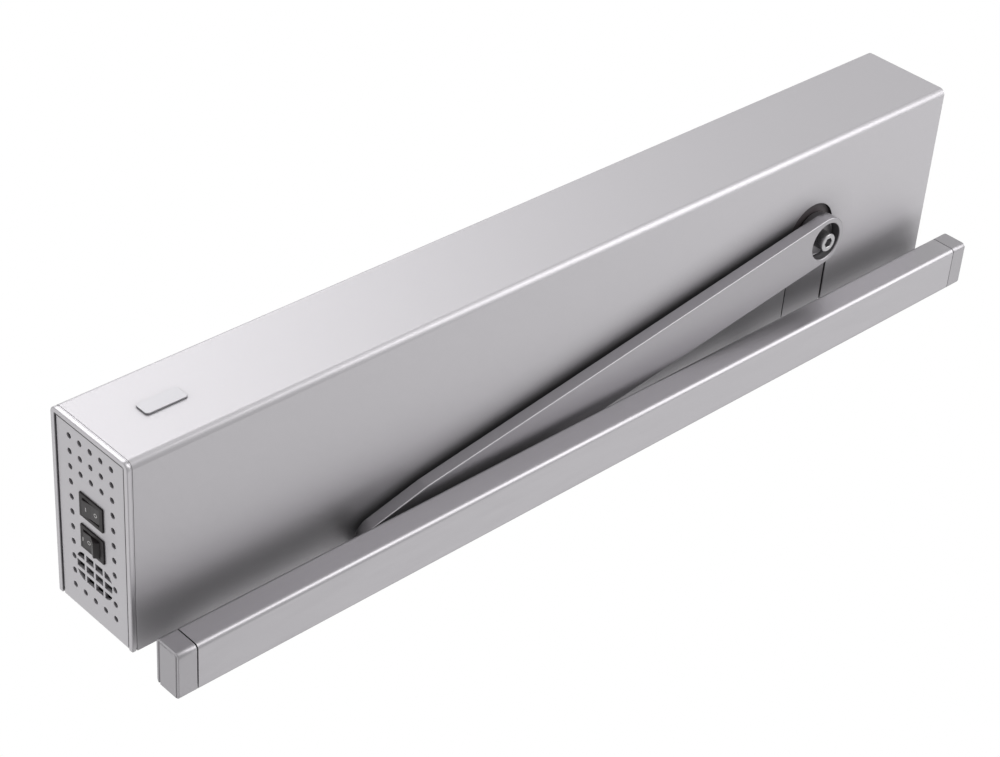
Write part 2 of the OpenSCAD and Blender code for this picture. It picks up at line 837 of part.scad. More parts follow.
// The outline of a spur gear with straight runs between three radii on each flank
function gear_outline(teeth, m, phase) = let (
    rp = teeth * m / 2,
    rb = rp * cos(pressure_angle),
    ra = rp + addendum * m,
    rf = rp - dedendum * m,
    half = 90 / teeth - backlash / 2 / rp * 180 / PI,
    radii = [max(rf, rb), rp, (rp + ra) / 2, ra],
    spread = [for (r = radii) half + inv(pressure_angle) - inv(acos(min(rb / r, 1)))],
    root = rf < rb ? [[rf, spread[0]]] : [],
    flank = concat(root, [for (i = [0:len(radii) - 1]) [radii[i], spread[i]]]),
    last = len(flank) - 1
) [
    for (i = [0:teeth - 1]) let (a = phase + i * 360 / teeth)
        each concat(
            [for (f = flank) f[0] * [cos(a - f[1]), sin(a - f[1])]],
            [for (j = [0:last]) flank[last - j][0]
                * [cos(a + flank[last - j][1]), sin(a + flank[last - j][1])]]
        )
];

module gear(z0, z1, pos, teeth, m, phase) {
    bar_z(z0, z1) translate(pos) polygon(gear_outline(teeth, m, phase));
}

module spindle_gear() {
    web_r = (spindle_teeth / 2 - 3.4) * slow_module;
    web_t = 3;
    color("#8d9296") difference() {
        gear(gear_z0, gear_z1, spindle_pos, spindle_teeth, slow_module, slow_angle);
        for (z = [gear_z0 - cut, gear_z1 - web_t]) difference() {
            rod_z(z, z + web_t + cut, web_r, spindle_pos);
            rod_z(z - cut, z + web_t + 2 * cut, cam_hub_r + 3, spindle_pos);
        }
        hex_z(gear_z0 - cut, gear_z1 + cut, seat_af + 2 * seat, spindle_pos);
    }
}

module intermediate_gear() {
    hub_r = pinion_tip_r - 4;
    color("#8d9296") difference() {
        union() {
            gear(gear_z0, gear_z1, pinion_pos, pinion_teeth, slow_module,
                slow_angle + 180 + 180 / pinion_teeth);
            rod_z(gear_z1 - eps, wheel_z1, hub_r, pinion_pos);
            gear(wheel_z0, wheel_z1, pinion_pos, wheel_teeth, fast_module, fast_angle);
        }
        rod_z(gear_z0 - cut, wheel_z1 + cut, intermediate_d / 2 + run, pinion_pos);
    }
}

module motor_pinion() {
    color("#9ea3a7") {
        gear(wheel_z0, wheel_z1, motor_pos, motor_teeth, fast_module,
            fast_angle + 180 + 180 / motor_teeth);
        rod_z(motor_z1 - 8, wheel_z0 + eps, motor_shaft_d / 2, motor_pos);
        rod_z(wheel_z1 - eps, lid_z - flat_gap, motor_shaft_d / 2, motor_pos);
    }
}

module motor_body() {
    r = motor_d / 2;
    rib = 1;
    color("#3c4043") difference() {
        union() {
            rod_z(motor_z0, motor_z1 - 2, r, motor_pos);
            rod_z(motor_z1 - 2 - eps, motor_z1, r - 6, motor_pos);
        }
        for (z = [motor_z0 + 6:5:motor_z1 - 8]) difference() {
            rod_z(z, z + 2, r + cut, motor_pos);
            rod_z(z - cut, z + 2 + cut, r - rib, motor_pos);
        }
        rod_z(motor_z1 - 9, motor_z1 + cut, motor_shaft_hole / 2, motor_pos);
    }
}

module intermediate_pin() {
    color("#c4c7ca") rod_z(floor_z + 1, lid_z + lid_t - 1, intermediate_d / 2, pinion_pos);
}

// Plan of the gearbox, drawn in by inset
module gearbox_plan(inset) {
    x0 = gearbox_left + inset;
    x1 = gearbox_right - inset;
    xs = gearbox_step_x - inset;
    y0 = -gearbox_front + inset;
    y1 = -gearbox_back - inset;
    ys = -gearbox_step_y - inset;
    r = gearbox_corner_r - inset / 2;
    difference() {
        polygon([[x0, y0], [x1, y0], [x1, ys], [xs, ys], [xs, y1], [x0, y1]]);
        for (c = [[x0, y0, 1, 1], [x1, y0, -1, 1], [x0, y1, 1, -1]])
            translate([c[0], c[1]]) difference() {
                translate([c[2] > 0 ? -cut : -r, c[3] > 0 ? -cut : -r]) square(r + cut);
                translate([c[2] * r, c[3] * r]) circle(r);
            }
    }
}

// Places of the screws that hold the lid: [x, y]
gearbox_screw_points = [
    [gearbox_left + gearbox_screw_inset, -gearbox_front + gearbox_screw_inset],
    [gearbox_right - gearbox_screw_inset, -gearbox_front + gearbox_screw_inset],
    [gearbox_left + gearbox_screw_inset, -gearbox_back - gearbox_screw_inset],
    [gearbox_step_x - gearbox_screw_inset, -gearbox_back - gearbox_screw_inset]
];

module gearbox_housing() {
    color("#3a393b") {
        difference() {
            union() {
                difference() {
                    bar_z(floor_z, lid_z) gearbox_plan(0);
                    bar_z(floor_z + gearbox_floor, lid_z + cut) gearbox_plan(gearbox_wall);
                }
                rod_z(floor_z, floor_z + gearbox_floor + bearing_boss,
                    bearing_d / 2 + 4, spindle_pos);
                for (p = gearbox_screw_points) rod_z(floor_z, lid_z, 5, p);
                for (x = gearbox_leg_x, z = gearbox_leg_z)
                    rod_y(-gearbox_back - eps, -plate_t - seat, gearbox_leg_d / 2, x, z);
            }
            rod_z(floor_z - cut, floor_z + cut + 1, bearing_d / 2 - 3, spindle_pos);
            rod_z(floor_z + 1, floor_z + gearbox_floor + bearing_boss + cut,
                bearing_d / 2 + seat, spindle_pos);
            rod_z(floor_z + 1 - seat, floor_z + gearbox_floor + cut,
                intermediate_d / 2 + seat, pinion_pos);
            rod_x(gearbox_left - cut, gearbox_left + gearbox_wall + cut,
                bush_d / 2 + seat, -spindle_y, cam_z);
            for (p = gearbox_screw_points)
                rod_z(lid_z - 12, lid_z + cut, gearbox_screw_d / 2 + seat, p);
            for (i = [8:11]) chassis_screw_hole(chassis_screw_points[i]);
        }
    }
}

module gearbox_lid() {
    color("#3e3d3f") difference() {
        union() {
            bar_z(lid_z, lid_z + lid_t) gearbox_plan(0);
            rod_z(lid_z, lid_z + bearing_w + 1, bearing_d / 2 + 4, spindle_pos);
        }
        rod_z(lid_z - cut, lid_z + bearing_w, bearing_d / 2 + seat, spindle_pos);
        rod_z(lid_z, lid_z + bearing_w + 1 + cut, spindle_d / 2 + 2, spindle_pos);
        rod_z(lid_z - cut, lid_z + lid_t - 1 + seat, intermediate_d / 2 + seat, pinion_pos);
        for (p = gearbox_screw_points)
            rod_z(lid_z - cut, lid_z + lid_t + cut, gearbox_screw_d / 2 + seat, p);
    }
}

module gearbox_screws() {
    head_h = 3;
    z = lid_z + lid_t + seat;
    color("#b8bcc0") for (p = gearbox_screw_points) difference() {
        union() {
            rod_z(z, z + head_h, gearbox_screw_d * 0.9, p);
            rod_z(lid_z - 11, z + eps, gearbox_screw_d / 2, p);
        }
        hex_z(z + head_h - 1.6, z + head_h + cut, 3, p);
    }
}

// A ball bearing drawn as its two rings with the shielded gap between them
module bearing(z0) {
    ring = 3;
    color("#cfd2d4") difference() {
        rod_z(z0, z0 + bearing_w, bearing_d / 2, spindle_pos);
        rod_z(z0 - cut, z0 + bearing_w + cut, spindle_d / 2 + seat, spindle_pos);
        for (z = [z0 - cut, z0 + bearing_w - 0.6]) difference() {
            rod_z(z, z + 0.6 + cut, bearing_d / 2 - ring, spindle_pos);
            rod_z(z - cut, z + 0.6 + 2 * cut, spindle_d / 2 + ring, spindle_pos);
        }
    }
}

lower_bearing_z = floor_z + 1.2;

module spindle_bearing_lower() { bearing(lower_bearing_z); }
module spindle_bearing_upper() { bearing(upper_bearing_z - seat); }

// Spindle

module spindle() {
    seat_z0 = lower_bearing_z + bearing_w + flat_gap;
    seat_z1 = upper_bearing_z - flat_gap;
    drive_z0 = floor_z - flat_gap;
    hex_end = recess_floor + 0.2;
    color("#b0b4b7") difference() {
        union() {
            rod_z(drive_z0, spindle_top, spindle_d / 2, spindle_pos);
            hex_z(seat_z0, seat_z1, seat_af, spindle_pos);
            hex_z(hex_end, drive_z0 + eps, drive_af, spindle_pos);
        }
        rod_z(hex_end - cut, hex_end + screw_len, screw_d / 2 + seat, spindle_pos);
    }
}

module spindle_spacer() {
    color("#c4c7ca") difference() {
        rod_z(gear_z1 + seat, cam_z - cam_w / 2 - seat, cam_hub_r, spindle_pos);
        hex_z(gear_z1 - cut, cam_z, seat_af + 4 * seat, spindle_pos);
    }
}

// The roller's path in the cam's own frame: it rises evenly with the swing of the arm
function cam_reach(a) = roller_reach + cam_k * a;
function cam_path(a) = cam_reach(a) * [cos(180 - a), sin(180 - a)];
function cam_normal(a) = let (
    t = [
        cam_k * 180 / PI * cos(180 - a) + cam_reach(a) * sin(180 - a),
        cam_k * 180 / PI * sin(180 - a) - cam_reach(a) * cos(180 - a)
    ]
) [-t[1], t[0]] / norm(t);

// The cam's working edge: the roller's path, drawn in by the roller's radius
cam_edge = [
    for (i = [0:cam_steps])
        let (a = -cam_lead + i * (arm_swing + 2 * cam_lead) / cam_steps)
            cam_path(a) - (roller_r + cam_clear) * cam_normal(a)
];

module lifting_cam() {
    color("#a5a9ac") difference() {
        union() {
            bar_z(cam_z - cam_w / 2, cam_z + cam_w / 2)
                translate(spindle_pos) polygon(concat([[0, 0]], cam_edge));
            rod_z(cam_z - cam_w / 2, cam_z + cam_w / 2, cam_hub_r, spindle_pos);
        }
        hex_z(cam_z - cam_w, cam_z + cam_w, seat_af + 2 * seat, spindle_pos);
    }
}

// Spring unit

module cam_roller() {
    color("#d2d5d7") difference() {
        rod_z(cam_z - roller_w / 2, cam_z + roller_w / 2, roller_r, [roller_x, -spindle_y]);
        rod_z(cam_z - roller_w, cam_z + roller_w, roller_pin_d / 2 + run, [roller_x, -spindle_y]);
    }
}

module roller_pin() {
    h = roller_w / 2 + fork_gap + fork_t;
    color("#c4c7ca") rod_z(cam_z - h, cam_z + h, roller_pin_d / 2, [roller_x, -spindle_y]);
}

module spring_piston() {
    fork_h = roller_w / 2 + fork_gap + fork_t;
    body_x = roller_x - roller_r - 6;
    color("#a9adb0") difference() {
        union() {
            translate([body_x - 5, -spindle_y - fork_r, cam_z - fork_h])
                cube([roller_x - body_x + 5, 2 * fork_r, 2 * fork_h]);
            rod_z(cam_z - fork_h, cam_z + fork_h, fork_r, [roller_x, -spindle_y]);
            rod_x(head_x - eps, body_x, rod_d / 2, -spindle_y, cam_z);
            rod_x(head_x - head_t, head_x, head_r, -spindle_y, cam_z);
        }
        translate([roller_x, -spindle_y, cam_z])
            cylinder(r = roller_r + 1.2, h = roller_w + 2 * fork_gap, center = true);
        translate([roller_x, -spindle_y - fork_r - cut, cam_z - roller_w / 2 - fork_gap])
            cube([2 * roller_r, 2 * (fork_r + cut), roller_w + 2 * fork_gap]);
        rod_z(cam_z - 2 * fork_h, cam_z + 2 * fork_h, roller_pin_d / 2 + seat,
            [roller_x, -spindle_y]);
    }
}

module spring_guide_bush() {
    color("#b08d4f") difference() {
        rod_x(tube_right - tube_flange_t + seat, gearbox_left + gearbox_wall + 1, bush_d / 2,
            -spindle_y, cam_z);
        rod_x(tube_right - tube_len, gearbox_left + 20, rod_d / 2 + run, -spindle_y, cam_z);
    }
}

module spring_tube() {
    r = tube_d / 2;
    color("#7a7f83") difference() {
        union() {
            rod_x(tube_left, tube_right, r, -spindle_y, cam_z);
            translate([tube_right - tube_flange_t, -spindle_y - tube_flange_half, cam_z - r])
                cube([tube_flange_t, 2 * tube_flange_half, 2 * r]);
        }
        rod_x(tube_left - cut, tube_right - tube_flange_t, r - tube_wall, -spindle_y, cam_z);
        rod_x(tube_right - tube_flange_t - cut, tube_right + cut, bush_d / 2 + seat,
            -spindle_y, cam_z);
    }
}

module spring_end_plug() {
    color("#8f9497") difference() {
        rod_x(tube_left + seat, tube_left + plug_t, tube_d / 2 - tube_wall - seat,
            -spindle_y, cam_z);
        rod_x(tube_left - cut, tube_left + plug_t + cut, adjust_d / 2 + seat, -spindle_y, cam_z);
    }
}

module spring_seat() {
    color("#8f9497") difference() {
        rod_x(seat_x, seat_x + seat_t, head_r, -spindle_y, cam_z);
        rod_x(seat_x - cut, seat_x + 2, adjust_d / 2 - 1 + seat, -spindle_y, cam_z);
    }
}

module spring_adjusting_screw() {
    color("#b8bcc0") difference() {
        union() {
            rod_x(tube_left - 10, seat_x - seat, adjust_d / 2, -spindle_y, cam_z);
            rod_x(seat_x - 2 * seat, seat_x + 2 - seat, adjust_d / 2 - 1, -spindle_y, cam_z);
        }
        translate([tube_left - 10 - cut, -spindle_y, cam_z]) rotate([0, 90, 0])
            cylinder(r = 2.9, h = 6 + cut, $fn = 6);
    }
}

// A helix along X from x0 to x1, swept as one unbroken tube
spring_rings_per_turn = 16;
spring_sides = 6;

function helix_point(x0, x1, r, turns, u) =
    [x0 + (x1 - x0) * u, r * cos(360 * turns * u), r * sin(360 * turns * u)];

function helix_ring(x0, x1, r, turns, u, wire_r) = let (
    a = 360 * turns * u,
    out = [0, cos(a), sin(a)],
    run_x = (x1 - x0) / (2 * PI * turns * r),
    t = [run_x, -sin(a), cos(a)] / sqrt(1 + run_x ^ 2),
    side = cross(t, out)
) [
    for (k = [0:spring_sides - 1]) let (b = 360 * k / spring_sides)
        helix_point(x0, x1, r, turns, u) + wire_r * (cos(b) * out + sin(b) * side)
];

module helix(x0, x1, r, turns, wire_r) {
    n = spring_rings_per_turn * turns;
    s = spring_sides;
    points = [for (i = [0:n]) each helix_ring(x0, x1, r, turns, i / n, wire_r)];
    sides = [
        for (i = [0:n - 1], k = [0:s - 1]) let (
            a = i * s + k,
            b = i * s + (k + 1) % s
        ) each [[a, b, b + s], [a, b + s, a + s]]
    ];
    ends = [
        for (k = [1:s - 2]) each [[0, k + 1, k], [n * s, n * s + k, n * s + k + 1]]
    ];
    polyhedron(points, concat(sides, ends));
}

module closing_spring() {
    x0 = spring_x0 + wire_d / 2 + seat;
    x1 = spring_x1 - wire_d / 2 - seat;
    color("#8a8f93") translate([0, -spindle_y, cam_z])
        helix(x0, x1, spring_r, spring_turns, wire_d / 2);
}

// Arm

// Distance along the arm where its straight side leaves the hub's circle
side_turn = asin((hub_r - taper_half_w) / (arm_len - taper_len));

// The arm seen from above with the spindle at the origin and the slide pin on +X
module arm_plan() {
    tip_turn = asin((taper_half_w - tip_r) / taper_len);
    hub_side = hub_r * [sin(side_turn), cos(side_turn)];
    tip_side = tip_r * [sin(tip_turn), cos(tip_turn)];
    circle(hub_r);
    translate([arm_len, 0]) circle(tip_r);
    polygon([
        [hub_side[0], hub_side[1]],
        [arm_len - taper_len, taper_half_w],
        [arm_len + tip_side[0], tip_side[1]],
        [arm_len + tip_side[0], -tip_side[1]],
        [arm_len - taper_len, -taper_half_w],
        [hub_side[0], -hub_side[1]]
    ]);
}

module arm() {
    color("#adadb1") difference() {
        union() {
            translate([spindle_pos[0], spindle_pos[1], arm_bottom])
                rotate([0, 0, arm_angle]) linear_extrude(arm_t) arm_plan();
            rod_z(arm_top - eps, boss_top, boss_r, spindle_pos);
        }
        rod_z(arm_bottom - cut, recess_floor, recess_d / 2, spindle_pos);
        hex_z(recess_floor - cut, boss_top + cut, drive_af + 4 * seat, spindle_pos);
        rod_z(arm_bottom - cut, arm_top + cut, pin_d / 2 + seat, pin_pos);
    }
}

module arm_washer() {
    color("#8f9396") difference() {
        rod_z(recess_floor - washer_t, recess_floor - seat, washer_d / 2, spindle_pos);
        rod_z(recess_floor - 2 * washer_t, recess_floor + cut, screw_d / 2 + flat_gap, spindle_pos);
    }
}

module arm_screw() {
    head_top = recess_floor - washer_t - seat;
    color("#4a4a4e") difference() {
        union() {
            rod_z(head_top - screw_head_h, head_top, screw_head_d / 2, spindle_pos);
            rod_z(head_top - eps, recess_floor + screw_len - 2, screw_d / 2, spindle_pos);
        }
        hex_z(head_top - screw_head_h - cut, head_top - screw_head_h / 2, hex_key, spindle_pos);
    }
}

module slide_pin() {
    color("#c4c7ca") {
        rod_z(way_bottom + 1.5, arm_top + eps, pin_d / 2, pin_pos);
        rod_z(arm_top + seat, arm_top + pin_head_t, pin_head_d / 2, pin_pos);
    }
}

// Slide channel

// The channel's outline in Y and Z
module track_outline(inset) {
    w = track_d - 2 * inset;
    h = track_h - 2 * inset;
    translate([leaf_setback - track_d / 2, (track_top + track_bottom) / 2])
        round_rect(w, h, track_edge_r - inset / 2);
}

module track_profile() {
    groove_w = 1;
    groove_h = track_h / 2;
    color("#b3b3b7") bar_x(profile_x0, profile_x1) difference() {
        track_outline(0);
        translate([-slot_y - slot_w / 2, way_top - cut]) square([slot_w, lip_t + 2 * cut]);
        translate([-slot_y - way_w / 2, way_bottom]) square([way_w, way_top - way_bottom]);
        translate([leaf_setback - groove_w, (track_top + track_bottom - groove_h) / 2])
            square([groove_w + cut, groove_h]);
    }
}

// One end cap: a shell open to the door leaf, with a fine U-shaped groove in its end face
module track_end_cap() {
    x0 = track_x0;
    x1 = profile_x0 - cap_joint;
    mid_z = (track_top + track_bottom) / 2;
    face_h = track_h - 2 * cap_wall;
    face_d = track_d - cap_wall;
    color("#a2a2a6") difference() {
        bar_x(x0, x1) track_outline(0);
        bar_x(x0 + cap_end_t, x1 + cut)
            translate([leaf_setback - track_d + cap_wall, track_bottom + cap_wall])
                square([track_d, track_h - 2 * cap_wall]);
        bar_x(x0 - cut, x0 + 0.8) difference() {
            translate([leaf_setback - face_d, mid_z - face_h / 2]) square([face_d + cut, face_h]);
            translate([leaf_setback - face_d + 0.8, mid_z - face_h / 2 + 0.8])
                square([face_d + cut, face_h - 1.6]);
        }
    }
}

module track_end_cap_near() { track_end_cap(); }
module track_end_cap_far() {
    translate([2 * track_shift, 0, 0]) mirror([1, 0, 0]) track_end_cap();
}

// The near fixing block: a tongue inside the channel and a head under the cap
module fixing_block() {
    head_x0 = track_x0 + cap_end_t + flat_gap;
    gap = flat_gap;
    head_y0 = leaf_setback - track_d + cap_wall + 3;
    z0 = way_bottom + gap;
    z1 = way_top - gap;
    hole_x = track_x0 + leaf_hole_inset;
    difference() {
        union() {
            translate([head_x0, head_y0, z0])
                cube([profile_x0 - cap_joint - head_x0, leaf_setback - head_y0, z1 - z0]);
            translate([profile_x0 - cap_joint - eps, -slot_y - way_w / 2 + gap, z0])
                cube([tongue_len, way_w - 2 * gap, z1 - z0]);
        }
        rod_y(head_y0 - cut, leaf_setback + cut, leaf_hole_d / 2, hole_x, (z0 + z1) / 2);
        rod_y(head_y0 - cut, head_y0 + 6, leaf_head_d / 2, hole_x, (z0 + z1) / 2);
        rod_z(z0 - cut, z1 + cut, clamp_d / 2 + seat, [profile_x0 + tongue_len / 2, -slot_y]);
    }
}

module track_fixing_blocks() {
    color("#8f9497") {
        fixing_block();
        translate([2 * track_shift, 0, 0]) mirror([1, 0, 0]) fixing_block();
    }
}

// Set screws that clamp the fixing blocks, reached through the slot
module track_clamp_screws() {
    color("#5a5d60") for (x = clamp_x) difference() {
        rod_z(way_bottom + seat, way_top - 1, clamp_d / 2, [x, -slot_y]);
        hex_z(way_top - 4, way_top, 2.5, [x, -slot_y]);
    }
}

module track_stop() {
    gap = flat_gap;
    buffer_len = 6;
    w = way_w - 2 * gap;
    h = way_top - way_bottom - 2 * gap;
    color("#2c2c2e") difference() {
        translate([stop_x, -slot_y - w / 2, way_bottom + gap]) cube([stop_len, w, h]);
        translate([stop_x + buffer_len, -slot_y - w / 2 - cut, way_bottom + gap + h - 2])
            cube([1.5, w + 2 * cut, 2 + cut]);
        rod_z(way_bottom + gap + 3, way_top + cut, clamp_d / 2, [stop_x + stop_len - 9, -slot_y]);
    }
}

module slide_block() {
    gap = flat_gap;
    w = way_w - 2 * gap;
    r = 5;
    color("#e4e2dc") difference() {
        bar_z(way_bottom + gap, way_top - gap)
            translate(pin_pos) round_rect(block_len, w, r);
        rod_z(way_bottom - cut, way_top + cut, pin_d / 2 + run, pin_pos);
    }
}

mounting_plate();
cover();
cover_insert();
switch_end_cap();
switch_end_plate();
plain_end_cap();
plain_end_plate();
end_cap_screws();
badge_plate();
cover_clips();
power_switch_housing();
program_switch_housing();
switch_carrier();
switch_terminals();
power_rocker();
program_rocker();
mains_terminal_block();
cable_grommet();
power_supply();
board_carrier();
control_board();
board_capacitors();
board_connectors();
board_relays();
chassis_screws();
gearbox_housing();
gearbox_lid();
gearbox_screws();
spindle_bearing_lower();
spindle_bearing_upper();
intermediate_pin();
motor_body();
motor_pinion();
intermediate_gear();
spindle_gear();
lifting_cam();
spindle_spacer();
spindle();
spring_tube();
spring_guide_bush();
spring_end_plug();
spring_seat();
spring_adjusting_screw();
closing_spring();
spring_piston();
roller_pin();
cam_roller();
arm();
arm_screw();
arm_washer();
slide_pin();
slide_block();
track_profile();
track_end_cap_near();
track_end_cap_far();
track_fixing_blocks();
track_clamp_screws();
track_stop();
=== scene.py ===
"""Looks of the automatic door operator: camera, light, materials and small surface details."""

import math

import bmesh
import bpy
from mathutils import Matrix, Vector


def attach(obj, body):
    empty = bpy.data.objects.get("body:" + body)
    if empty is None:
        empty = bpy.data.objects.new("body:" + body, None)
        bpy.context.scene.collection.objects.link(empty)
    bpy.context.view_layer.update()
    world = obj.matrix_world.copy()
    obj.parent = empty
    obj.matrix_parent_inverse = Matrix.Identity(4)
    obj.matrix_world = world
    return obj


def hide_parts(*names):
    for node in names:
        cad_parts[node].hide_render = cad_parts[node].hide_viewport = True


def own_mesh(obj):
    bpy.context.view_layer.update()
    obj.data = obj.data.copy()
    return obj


MM = 0.001

# Camera, fitted to the photograph's edges
IMAGE_WIDTH = 1000
CAMERA_AT = (-0.9249, -0.9100, -0.8714)
CAMERA_RIGHT = (0.72955, -0.06385, -0.68094)
CAMERA_DOWN = (-0.35574, 0.81492, -0.45755)
FOCAL_PX = 2433.5
SENSOR = 36.0
CLIP = (0.01, 60)

# Lamps: place, target, size and power
LAMPS = {
    # Seen in the front face, strongest at the switch end
    "front": ((0.3, -1.65, 1.45), (-0.34, -0.13, 0.0), (1.5, 1.1), 16.5),
    # Seen in the underside, the arm and the channel, from behind and below
    "below": ((0.95, 0.95, -1.05), (0.0, -0.05, -0.035), (1.9, 1.1), 4.6),
    # Seen in the lower front edges
    "edge": ((0.92, -0.92, -0.82), (0.0, -0.10, -0.045), (1.8, 1.1), 19),
    # Seen in the rim's rounded edge
    "rim": ((-1.45, -1.5, 1.3), (-0.34, -0.10, 0.0), (0.8, 0.8), 5),
    # Seen in the switch end
    "end": ((-1.9, 1.0, 1.0), (-0.34, -0.06, 0.0), (1.2, 1.2), 3.5),
}

WORLD_COLOUR = (0.94, 0.93, 0.95)
WORLD_LIGHT = 0.36

# The floor lies far enough down to be under the cameras that look up at the part
FLOOR_Z = -4.0
FLOOR_HALF = 30
FLOOR_COLOUR = (0.8, 0.8, 0.8)
FLOOR_ROUGHNESS = 0.9
FLOOR_GLOW = 0.95

WHITE = (1, 1, 1)


def link(obj):
    bpy.context.scene.collection.objects.link(obj)
    return obj


def mesh_object(name, mesh, mat):
    mesh.materials.append(mat)
    return link(bpy.data.objects.new(name, mesh))


def make_camera():
    data = bpy.data.cameras.new("camera")
    data.sensor_fit = "HORIZONTAL"
    data.sensor_width = SENSOR
    data.lens = FOCAL_PX * SENSOR / IMAGE_WIDTH
    data.clip_start, data.clip_end = CLIP
    obj = link(bpy.data.objects.new("camera", data))
    right = Vector(CAMERA_RIGHT).normalized()
    down = Vector(CAMERA_DOWN)
    down = (down - right * down.dot(right)).normalized()
    forward = right.cross(down)
    rotation = Matrix((right, -down, -forward)).transposed()
    obj.matrix_world = Matrix.Translation(CAMERA_AT) @ rotation.to_4x4()
    bpy.context.scene.camera = obj


def make_lamps():
    for name, (at, target, size, power) in LAMPS.items():
        data = bpy.data.lights.new(name, "AREA")
        data.shape = "RECTANGLE"
        data.size, data.size_y = size
        data.energy = power
        obj = link(bpy.data.objects.new(name, data))
        obj.location = at
        direction = Vector(target) - Vector(at)
        obj.rotation_euler = direction.to_track_quat("-Z", "Y").to_euler()


def math_node(tree, operation, first, second):
    """A Math node's result, from a socket and either a socket or a number."""
    node = tree.nodes.new("ShaderNodeMath")
    node.operation = operation
    tree.links.new(first, node.inputs[0])
    if isinstance(second, float):
        node.inputs[1].default_value = second
    else:
        tree.links.new(second, node.inputs[1])
    return node.outputs["Value"]


def map_range(tree, value, to_range, from_range=(0, 1)):
    """A value spread from one range to another, and held inside it."""
    node = tree.nodes.new("ShaderNodeMapRange")
    node.inputs["From Min"].default_value, node.inputs["From Max"].default_value = from_range
    node.inputs["To Min"].default_value, node.inputs["To Max"].default_value = to_range
    tree.links.new(value, node.inputs["Value"])
    return node.outputs["Result"]


def mix_shaders(tree, share, first, second):
    node = tree.nodes.new("ShaderNodeMixShader")
    tree.links.new(share, node.inputs["Fac"])
    tree.links.new(first, node.inputs[1])
    tree.links.new(second, node.inputs[2])
    return node.outputs["Shader"]


def background(tree, colour, strength):
    node = tree.nodes.new("ShaderNodeBackground")
    node.inputs["Color"].default_value = (*colour, 1)
    node.inputs["Strength"].default_value = strength
    return node.outputs["Background"]


def seen_directly(tree):
    """1 for rays that show the background as it is: the camera's, mirrored and transmitted ones."""
    path = tree.nodes.new("ShaderNodeLightPath")
    value = path.outputs["Is Camera Ray"]
    for ray in ("Is Glossy Ray", "Is Transmission Ray"):
        value = math_node(tree, "MAXIMUM", value, path.outputs[ray])
    return value


def make_world():
    """A white background, and a soft grey for the light that it gives."""
    world = bpy.data.worlds.new("studio")
    bpy.context.scene.world = world
    world.use_nodes = True
    tree = world.node_tree
    tree.nodes.clear()
    out = tree.nodes.new("ShaderNodeOutputWorld")
    both = mix_shaders(tree, seen_directly(tree), background(tree, WORLD_COLOUR, WORLD_LIGHT),
                       background(tree, WHITE, 1.0))
    tree.links.new(both, out.inputs["Surface"])


